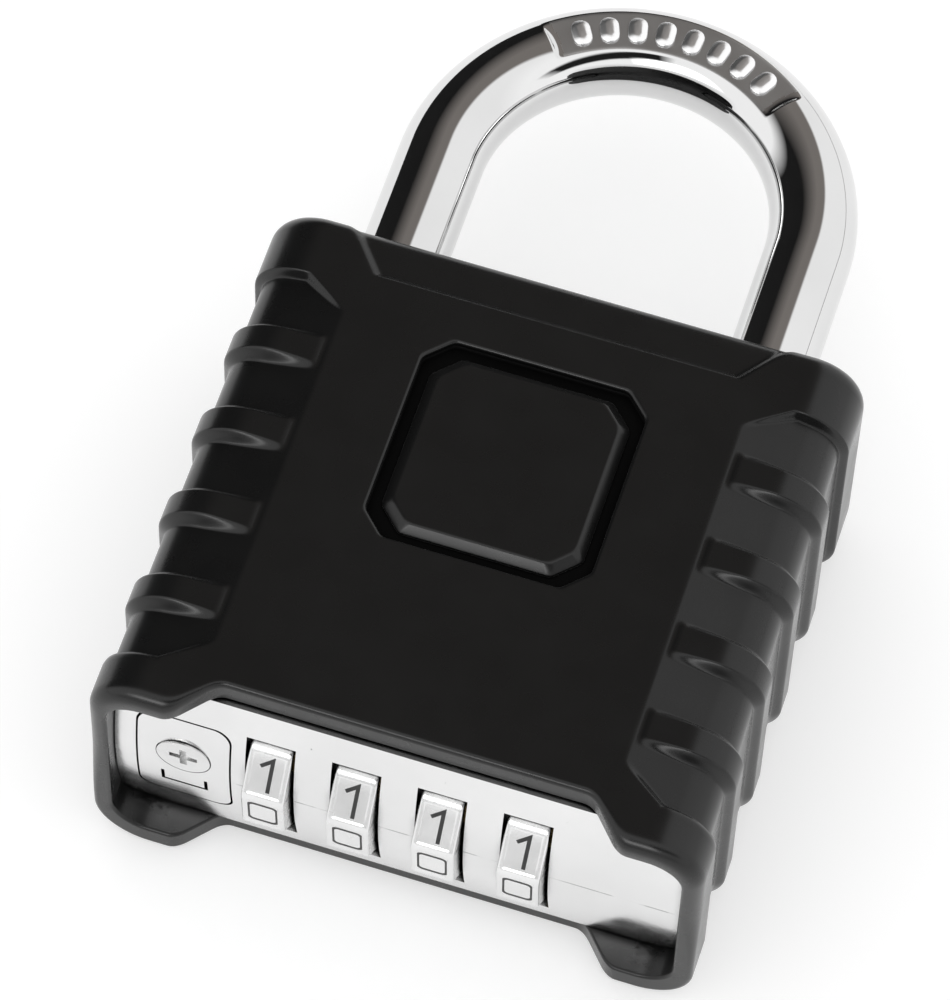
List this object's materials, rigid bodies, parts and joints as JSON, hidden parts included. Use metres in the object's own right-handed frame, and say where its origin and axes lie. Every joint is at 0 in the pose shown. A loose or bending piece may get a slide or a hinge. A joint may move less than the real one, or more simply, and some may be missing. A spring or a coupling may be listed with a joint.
{
  "type": "combination padlock",
  "caption": "Resettable combination padlock: a ribbed black cover over a metal body, number dials and a reset cover in the lower face, and a round chromed shackle.",
  "frame": {"origin": "middle of the flat back face of the cover, on which the lock lies", "axes": "+X to the right seen from the front, +Y towards the shackle, +Z out of the front face"},
  "size_m": [0.0608, 0.0992, 0.0302],
  "materials": {
    "black_cover": "satin black moulded plastic with soft highlights",
    "badge": "satin black moulded plastic",
    "zinc_casting": "bright nickel-plated die casting",
    "zinc_trim": "satin nickel plate",
    "chrome_steel": "polished chrome plate on hardened steel",
    "screw_steel": "zinc-plated steel",
    "spring_steel": "bright spring wire",
    "latch_steel": "stamped steel",
    "dial_metal": "satin nickel-plated wheel with dark digits",
    "brass_sleeve": "machined brass"
  },
  "bodies": {
    "lock_body": {"outer_cover": "black_cover", "front_badge": "badge", "front_casting": "zinc_casting", "rear_casting": "zinc_casting", "casting_screws": "screw_steel", "retaining_pin": "spring_steel", "heel_spring": "spring_steel", "latch_spring": "spring_steel", "shaft_spring": "spring_steel", "detent_spring": "spring_steel", "detent_rivets": "screw_steel"},
    "shackle": {"shackle": "chrome_steel"},
    "latch": {"latch_slide": "latch_steel"},
    "dial_shaft": {"dial_shaft": "latch_steel"},
    "reset_cam": {"reset_cam": "latch_steel"},
    "reset_cover": {"reset_cover_plate": "zinc_trim"},
    "reset_screw": {"reset_cover_screw": "screw_steel"},
    "dial_1": {"dial_wheel_1": "dial_metal", "code_sleeve_1": "brass_sleeve"},
    "dial_2": {"dial_wheel_2": "dial_metal", "code_sleeve_2": "brass_sleeve"},
    "dial_3": {"dial_wheel_3": "dial_metal", "code_sleeve_3": "brass_sleeve"},
    "dial_4": {"dial_wheel_4": "dial_metal", "code_sleeve_4": "brass_sleeve"}
  },
  "joints": [
    {"name": "shackle_lift", "type": "slide", "parent": "lock_body", "child": "shackle", "axis": [0, 1, 0], "range_m": [0, 0.0145], "deforming": ["heel_spring"]},
    {"name": "latch_travel", "type": "slide", "parent": "lock_body", "child": "latch", "axis": [1, 0, 0], "range_m": [0, 0.0022], "deforming": ["latch_spring"]},
    {"name": "reset_cam_turn", "type": "hinge", "parent": "lock_body", "child": "reset_cam", "pos_m": [-0.0214, -0.01995, 0.0151], "axis": [0, 1, 0], "range_deg": [0, 90]},
    {"name": "shaft_shift", "type": "slide", "parent": "lock_body", "child": "dial_shaft", "axis": [1, 0, 0], "range_m": [0, 0.001], "deforming": ["shaft_spring"]},
    {"name": "reset_cover_removal", "type": "slide", "parent": "lock_body", "child": "reset_cover", "axis": [0, -1, 0], "range_m": [0, 0.012]},
    {"name": "reset_screw_turn", "type": "hinge", "parent": "reset_cover", "child": "reset_screw", "pos_m": [-0.0214, -0.02535, 0.01745], "axis": [0, 1, 0], "continuous": true},
    {"name": "dial_1_turn", "type": "hinge", "parent": "lock_body", "child": "dial_1", "pos_m": [-0.01275, -0.01995, 0.0151], "axis": [1, 0, 0], "continuous": true},
    {"name": "dial_2_turn", "type": "hinge", "parent": "lock_body", "child": "dial_2", "pos_m": [-0.00425, -0.01995, 0.0151], "axis": [1, 0, 0], "continuous": true},
    {"name": "dial_3_turn", "type": "hinge", "parent": "lock_body", "child": "dial_3", "pos_m": [0.00425, -0.01995, 0.0151], "axis": [1, 0, 0], "continuous": true},
    {"name": "dial_4_turn", "type": "hinge", "parent": "lock_body", "child": "dial_4", "pos_m": [0.01275, -0.01995, 0.0151], "axis": [1, 0, 0], "continuous": true}
  ],
  "couplings": [
    {"joint": "latch_travel", "follows": "shackle_lift", "ratio": 0.15172},
    {"joint": "reset_cam_turn", "follows": "shaft_shift", "rad_per_m": 1570.8}
  ]
}
